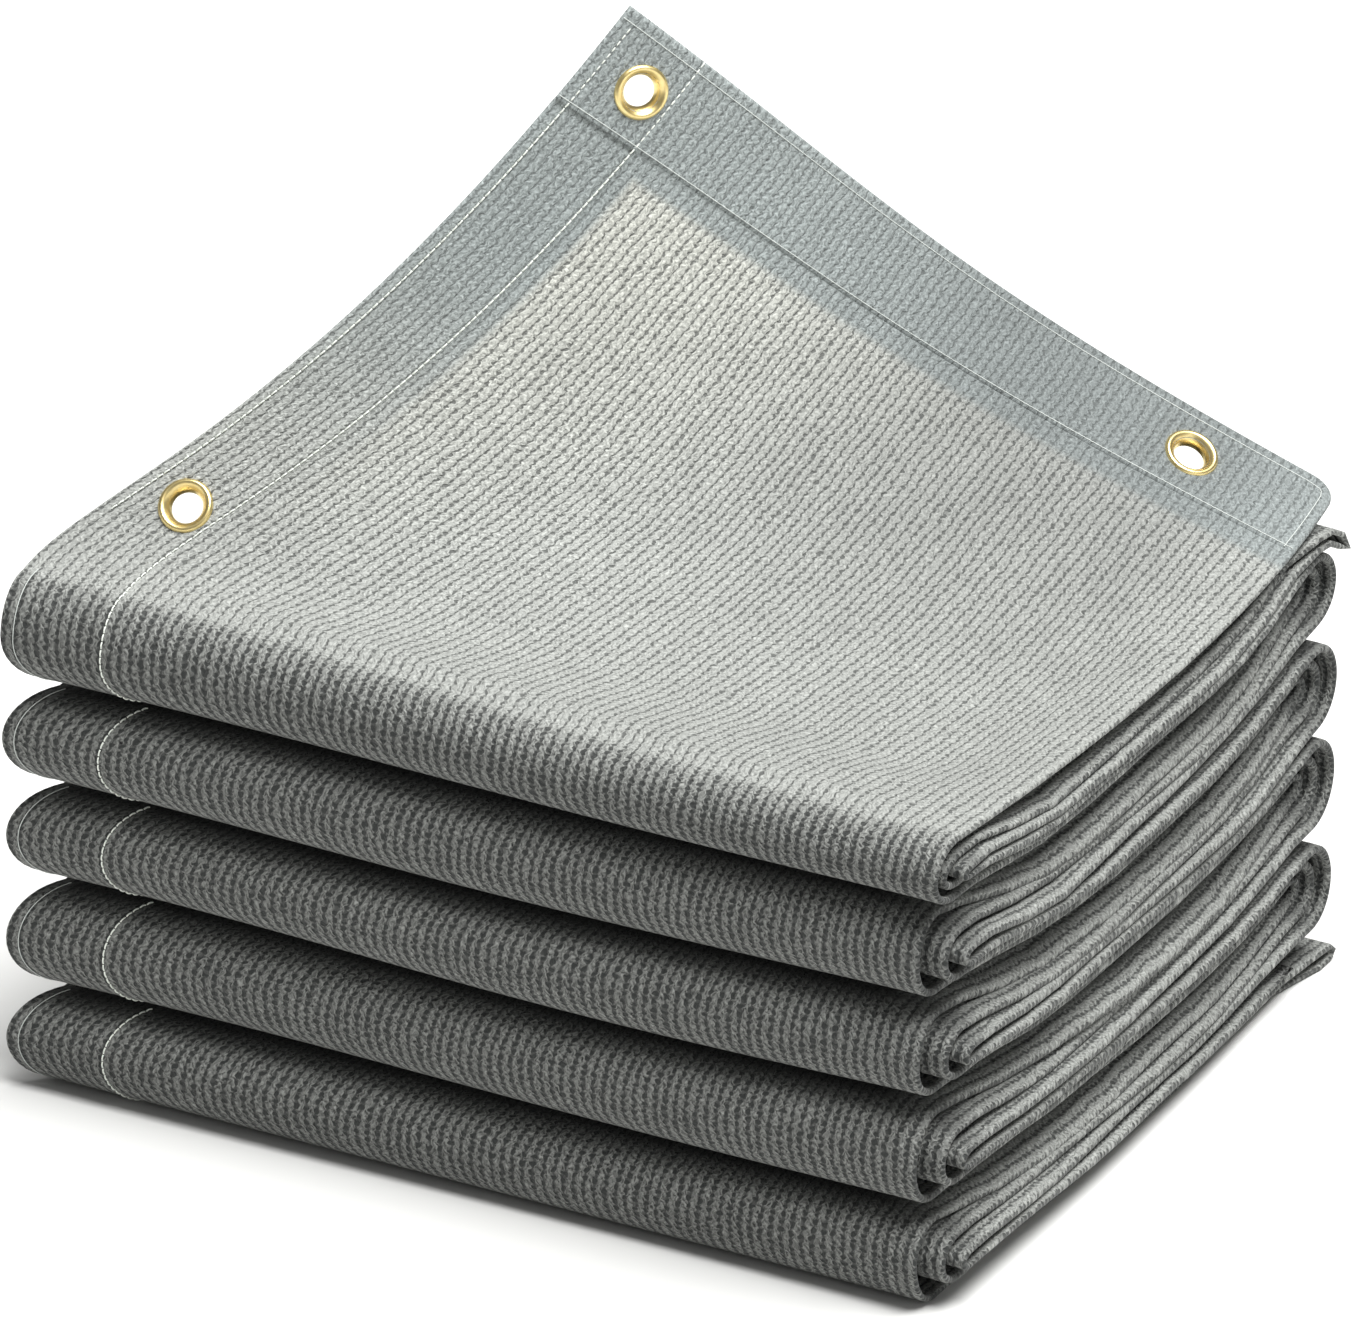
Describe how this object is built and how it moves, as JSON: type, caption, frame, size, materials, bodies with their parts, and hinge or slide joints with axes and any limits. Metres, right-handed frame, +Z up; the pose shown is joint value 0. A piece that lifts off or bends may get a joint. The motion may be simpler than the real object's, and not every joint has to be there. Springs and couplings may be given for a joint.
{
  "type": "shade cloth",
  "caption": "Grey knitted shade cloth folded back and forth into a soft pile, its top corner lifted, with stitched hems and brass eyelets.",
  "frame": {"origin": "middle of the pile's flat underside", "axes": "+X runs along the folds, from the left end to the right end; the front folds lie at -Y; +Z is up"},
  "size_m": [0.3915, 0.3276, 0.401],
  "materials": {
    "grey_knit": "open warp knit of grey tape yarn, matte",
    "grey_hem": "doubled knit of the hem, matte and darker",
    "polished_brass": "polished"
  },
  "bodies": {
    "root": {"cloth": "grey_knit", "eyelet_hem": "grey_hem", "grommet_corner": "polished_brass", "grommet_left": "polished_brass", "grommet_right": "polished_brass"}
  },
  "joints": []
}
